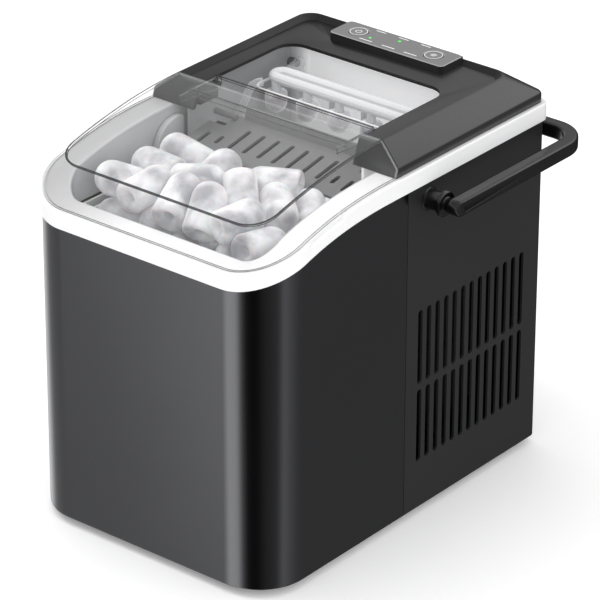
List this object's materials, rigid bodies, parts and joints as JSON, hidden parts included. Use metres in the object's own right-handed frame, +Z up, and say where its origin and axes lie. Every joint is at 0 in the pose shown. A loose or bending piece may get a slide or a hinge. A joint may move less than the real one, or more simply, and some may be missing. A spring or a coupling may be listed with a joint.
{
  "type": "countertop ice maker",
  "caption": "Countertop bullet-ice maker with a clear hinged lid, vented housing, swing-up carrying handle, tilting ice tray and push-button panel.",
  "frame": {"origin": "centre of the outline, with the handle down, at the plane that the feet stand on", "axes": "+Z up, -Y towards the front with the lid, +X to the right seen from above with the front towards the viewer"},
  "size_m": [0.28, 0.3338, 0.3004],
  "materials": {
    "charcoal_shell": "satin charcoal with a fine metallic sheen",
    "black_plastic": "fine satin moulded black",
    "white_plastic": "smooth white moulding",
    "clear_plastic": "clear polished plastic",
    "liner_plastic": "light grey food-safe liner",
    "grey_plastic": "mid grey satin moulding",
    "panel_grey": "printed grey overlay",
    "indicator": "unlit lens",
    "indicator_lit": "lit green lens",
    "rubber": "matt black rubber",
    "steel": "plated steel",
    "copper": "bare copper tube",
    "aluminium": "bare fins",
    "foam": "cream insulating foam",
    "circuit_board": "green board",
    "black_enamel": "black enamel"
  },
  "bodies": {
    "chassis": {"front_shell": "charcoal_shell", "rear_housing": "charcoal_shell", "base_tray": "black_plastic", "foot_front_left": "rubber", "foot_front_right": "rubber", "foot_rear_left": "rubber", "foot_rear_right": "rubber", "drain_plug": "rubber", "cord_gland": "rubber", "collar": "white_plastic", "top_cover": "black_plastic", "hinge_block_left": "black_plastic", "hinge_block_right": "black_plastic", "control_overlay": "panel_grey", "light_ice_small": "indicator", "light_run": "indicator_lit", "light_ice_medium": "indicator_lit", "light_water_low": "indicator", "light_ice_large": "indicator", "light_ice_full": "indicator", "control_board": "circuit_board", "handle_pivot_left": "black_plastic", "handle_pivot_right": "black_plastic", "inner_tub": "liner_plastic", "evaporator_bay": "liner_plastic", "tub_foam": "foam", "ice_basket": "white_plastic", "evaporator": "steel", "tray_motor": "grey_plastic", "water_pump": "black_enamel", "pump_hose": "clear_plastic", "float_sensor": "white_plastic", "ice_full_sensor": "black_enamel", "compressor": "black_enamel", "compressor_mount_1": "rubber", "compressor_mount_2": "rubber", "compressor_mount_3": "rubber", "condenser": "aluminium", "fan_shroud": "black_plastic", "fan_motor": "black_enamel", "suction_line": "copper", "discharge_line": "copper"},
    "lid": {"lid": "clear_plastic"},
    "handle": {"handle": "black_plastic"},
    "water_tray": {"water_tray": "clear_plastic"},
    "ice_shovel": {"ice_shovel": "grey_plastic"},
    "fan": {"fan_blades": "black_plastic"},
    "button_power": {"button_power": "panel_grey"},
    "button_select": {"button_select": "panel_grey"}
  },
  "joints": [
    {"name": "lid_hinge", "type": "hinge", "parent": "chassis", "child": "lid", "pos_m": [0, 0.00165, 0.288], "axis": [-1, 0, 0], "range_deg": [0, 90]},
    {"name": "handle_swing", "type": "hinge", "parent": "chassis", "child": "handle", "pos_m": [0, 0.01185, 0.2485], "axis": [1, 0, 0], "range_deg": [0, 90]},
    {"name": "tray_tilt", "type": "hinge", "parent": "chassis", "child": "water_tray", "pos_m": [0, 0.09005, 0.274], "axis": [1, 0, 0], "range_deg": [0, 26]},
    {"name": "shovel_lift", "type": "hinge", "parent": "chassis", "child": "ice_shovel", "pos_m": [0, 0.00705, 0.263], "axis": [-1, 0, 0], "range_deg": [0, 18.2]},
    {"name": "fan_spin", "type": "hinge", "parent": "chassis", "child": "fan", "pos_m": [-0.0692, 0.07035, 0.102], "axis": [1, 0, 0], "continuous": true},
    {"name": "power_press", "type": "slide", "parent": "chassis", "child": "button_power", "axis": [0, 0, -1], "range_m": [0, 0.0008], "stiffness_N_per_m": 400, "springref_m": -0.0005},
    {"name": "select_press", "type": "slide", "parent": "chassis", "child": "button_select", "axis": [0, 0, -1], "range_m": [0, 0.0008], "stiffness_N_per_m": 400, "springref_m": -0.0005}
  ],
  "couplings": [
    {"joint": "shovel_lift", "follows": "tray_tilt", "ratio": 0.7}
  ]
}
